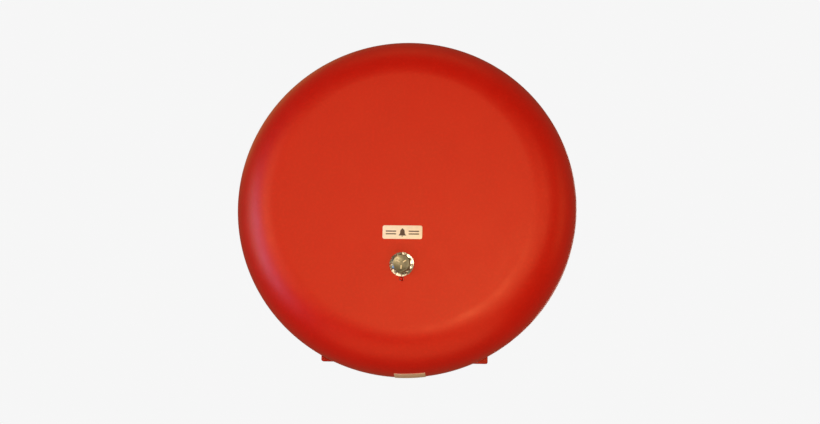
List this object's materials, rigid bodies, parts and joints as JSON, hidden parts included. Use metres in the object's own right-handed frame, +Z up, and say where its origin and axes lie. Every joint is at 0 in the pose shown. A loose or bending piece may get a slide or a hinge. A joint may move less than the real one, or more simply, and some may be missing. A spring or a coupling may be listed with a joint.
{
  "type": "fire alarm bell",
  "caption": "Round red pressed-steel gong bolted off centre over a motor-driven striker, on a square weatherproof wall box.",
  "frame": {"origin": "centre of the back box's rear face, on the wall, in line with the gong's bolt", "axes": "+Z up, -Y out of the wall towards the gong's face, +X to the right of someone facing the bell"},
  "size_m": [0.254, 0.1012, 0.2544],
  "materials": {
    "red_enamel": "satin sprayed enamel on steel",
    "zinc_steel": "zinc plated",
    "cast_aluminium": "as cast",
    "cover_plastic": "fine moulded grain",
    "cream_label": "printed label",
    "black_rubber": "matte",
    "fibre": "vulcanised fibre",
    "motor_steel": "nickel plated",
    "magnet": "ground ferrite",
    "core_steel": "laminated",
    "copper": "enamelled wire",
    "bronze": "sintered",
    "brass": "satin",
    "white_nylon": "moulded",
    "black_nylon": "moulded",
    "board_green": "solder mask",
    "terminal_green": "moulded",
    "capacitor_yellow": "moulded",
    "lead_red": "insulated wire",
    "lead_black": "insulated wire",
    "ground_green": "dyed"
  },
  "bodies": {
    "housing": {"backbox_rear": "red_enamel", "backbox_left": "red_enamel", "backbox_right": "red_enamel", "backbox_top": "red_enamel", "backbox_bottom": "red_enamel", "backbox_bosses": "red_enamel", "box_gasket": "black_rubber", "mounting_plate": "red_enamel", "plate_screws": "zinc_steel", "ground_screw": "ground_green", "conduit_plug": "zinc_steel", "mechanism_frame": "cast_aluminium", "frame_screws": "zinc_steel", "mechanism_cover": "cover_plastic", "cover_screws": "zinc_steel", "locating_pin": "red_enamel", "gong_washer": "fibre", "gong": "red_enamel", "lock_washer": "zinc_steel", "gong_bolt": "zinc_steel", "nameplate_label": "cream_label", "rim_label": "cream_label", "motor_can": "motor_steel", "motor_end_cap": "black_nylon", "motor_magnets": "magnet", "motor_bushings": "bronze", "motor_brushes": "magnet", "motor_terminals": "brass", "motor_bracket": "zinc_steel", "bracket_screws": "zinc_steel", "gear_axle": "motor_steel", "axle_clip": "motor_steel", "striker_bush": "bronze", "return_spring": "motor_steel", "circuit_board": "board_green", "board_standoffs": "brass", "board_screws": "zinc_steel", "terminal_block": "terminal_green", "terminal_screws": "zinc_steel", "blocking_diode": "black_nylon", "suppression_capacitor": "capacitor_yellow", "wire_grommet": "black_rubber", "lead_positive": "lead_red", "lead_negative": "lead_black"},
    "rotor": {"motor_shaft": "motor_steel", "motor_armature": "core_steel", "armature_windings": "copper", "commutator": "copper", "pinion_gear": "brass"},
    "cam": {"drive_gear": "white_nylon", "eccentric_cam": "motor_steel"},
    "striker": {"striker_rod": "motor_steel", "striker_tip": "black_nylon", "spring_collar": "motor_steel"}
  },
  "joints": [
    {"name": "rotor_spin", "type": "hinge", "parent": "housing", "child": "rotor", "pos_m": [-0.01839, -0.0615, -0.01457], "axis": [0, -1, 0], "continuous": true},
    {"name": "gear_spin", "type": "hinge", "parent": "housing", "child": "cam", "pos_m": [0, -0.0757, -0.03], "axis": [0, -1, 0], "continuous": true},
    {"name": "striker_slide", "type": "slide", "parent": "housing", "child": "striker", "axis": [0, 0, -1], "range_m": [0, 0.0036], "stiffness_N_per_m": 150, "springref_m": -0.004, "deforming": ["return_spring"]}
  ],
  "couplings": [
    {"joint": "gear_spin", "follows": "rotor_spin", "ratio": -0.25}
  ]
}
